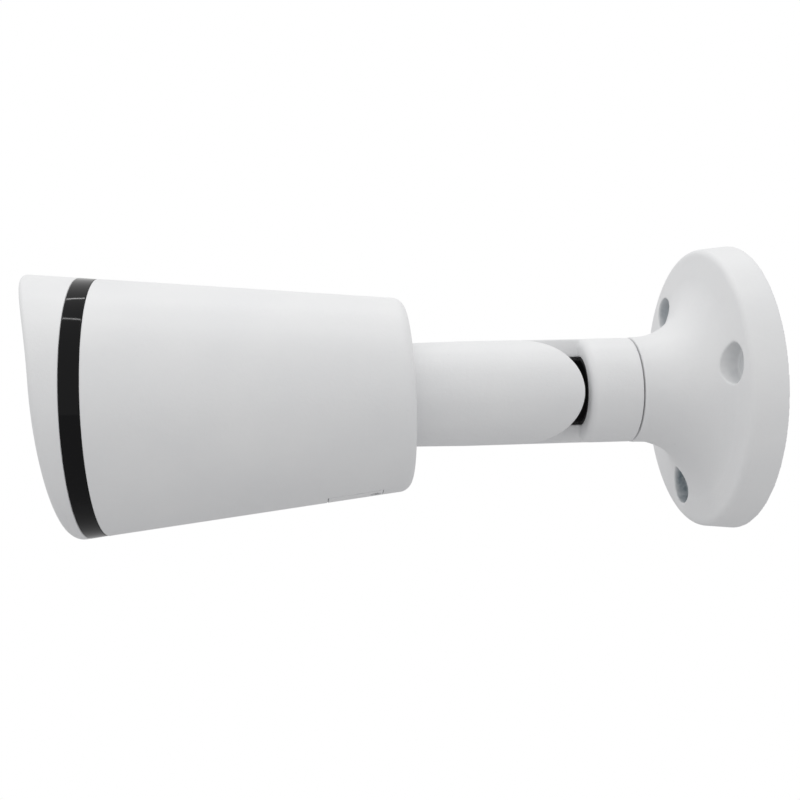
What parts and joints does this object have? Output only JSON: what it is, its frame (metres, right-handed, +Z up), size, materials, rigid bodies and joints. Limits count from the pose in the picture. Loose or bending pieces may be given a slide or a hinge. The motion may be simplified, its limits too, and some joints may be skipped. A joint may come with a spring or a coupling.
{
  "type": "security camera",
  "caption": "Bullet security camera with a tapered round housing, black trim band and slanted hood, on a wall flange with a pan, tilt and roll arm.",
  "frame": {"origin": "centre of the wall flange's back face, on the wall plane", "axes": "+Y points into the wall and the camera looks along -Y; +Z is up; +X is to the camera's left side as it looks out"},
  "size_m": [0.09, 0.2176, 0.09],
  "materials": {
    "white_paint": "satin white powder coat with a fine texture, on cast aluminium",
    "black_gloss": "polished black",
    "black_plastic": "fine matt black",
    "black_rubber": "dull black",
    "zinc_steel": "bright zinc plate",
    "brass_post": "turned",
    "circuit_board": "green solder mask",
    "window_glass": "clear, smooth",
    "lens_glass": "coated optical glass",
    "bare_aluminium": "bead blasted",
    "chip_black": "moulded package",
    "led_package": "ceramic lamp package",
    "led_optic": "clear moulded optic",
    "thermal_pad": "soft grey pad",
    "copper_coil": "enamelled copper winding",
    "nylon_grey": "natural grey nylon",
    "filter_glass": "tinted filter",
    "capacitor_sleeve": "dark blue sleeve"
  },
  "bodies": {
    "wall_base": {"wall_flange": "white_paint", "pan_friction_washer": "nylon_grey", "pan_lock_screw": "zinc_steel"},
    "pan_neck": {"swivel_neck": "white_paint", "cable_guide": "black_rubber", "pan_lock_nut": "zinc_steel", "tilt_screw": "zinc_steel", "tilt_washer": "zinc_steel", "tilt_friction_disc": "nylon_grey"},
    "tilt_arm": {"arm_tube": "white_paint", "roll_lock_nut": "zinc_steel", "roll_seal_ring": "black_rubber", "cable_gland": "black_rubber"},
    "camera_body": {"rear_housing": "white_paint", "roll_friction_washer": "nylon_grey", "access_cover": "white_paint", "access_gasket": "black_rubber", "access_screws": "zinc_steel", "trim_band": "black_gloss", "front_bezel": "white_paint", "bezel_seal_ring": "black_rubber", "window_trim": "black_plastic", "window_gasket": "black_rubber", "front_window": "window_glass", "window_retainer": "black_plastic", "led_board": "circuit_board", "led_lamps": "led_package", "led_lenses": "led_optic", "light_sensor": "chip_black", "led_board_posts": "brass_post", "lens_shield": "black_rubber", "lens_barrel": "black_plastic", "lens_front_element": "lens_glass", "lens_rear_element": "lens_glass", "lens_motors": "zinc_steel", "ir_cut_housing": "black_plastic", "ir_cut_solenoid": "copper_coil", "lens_holder": "black_plastic", "image_sensor": "chip_black", "sensor_board": "circuit_board", "sensor_standoffs": "brass_post", "main_board": "circuit_board", "processor": "chip_black", "thermal_pad": "thermal_pad", "heat_spreader": "bare_aluminium", "card_socket": "zinc_steel", "reset_switch": "chip_black", "board_standoffs": "brass_post", "power_board": "circuit_board", "network_transformer": "chip_black", "board_capacitors": "capacitor_sleeve", "board_screws": "zinc_steel", "chassis_frame": "bare_aluminium", "chassis_screws": "zinc_steel"},
    "zoom_group": {"zoom_cell": "black_plastic", "zoom_lens": "lens_glass"},
    "focus_group": {"focus_cell": "black_plastic", "focus_lens": "lens_glass"},
    "ir_filter": {"ir_cut_filter": "filter_glass"},
    "reset_plunger": {"reset_button": "nylon_grey"}
  },
  "joints": [
    {"name": "pan", "type": "hinge", "parent": "wall_base", "child": "pan_neck", "pos_m": [0, -0.0315, 0], "axis": [0, 1, 0], "range_deg": [-180, 180]},
    {"name": "tilt", "type": "hinge", "parent": "pan_neck", "child": "tilt_arm", "pos_m": [0, -0.0664, 0], "axis": [1, 0, 0], "range_deg": [0, 90]},
    {"name": "roll", "type": "hinge", "parent": "tilt_arm", "child": "camera_body", "pos_m": [0, -0.1029, 0], "axis": [0, 1, 0], "range_deg": [-180, 180]},
    {"name": "zoom_travel", "type": "slide", "parent": "camera_body", "child": "zoom_group", "axis": [0, -1, 0], "range_m": [-0.005, 0.004]},
    {"name": "focus_travel", "type": "slide", "parent": "camera_body", "child": "focus_group", "axis": [0, -1, 0], "range_m": [-0.0015, 0.0015]},
    {"name": "filter_travel", "type": "slide", "parent": "camera_body", "child": "ir_filter", "axis": [1, 0, 0], "range_m": [0, 0.009]},
    {"name": "reset_press", "type": "slide", "parent": "camera_body", "child": "reset_plunger", "axis": [0, 0, 1], "range_m": [0, 0.0004], "stiffness_N_per_m": 400, "springref_m": -0.0004}
  ]
}
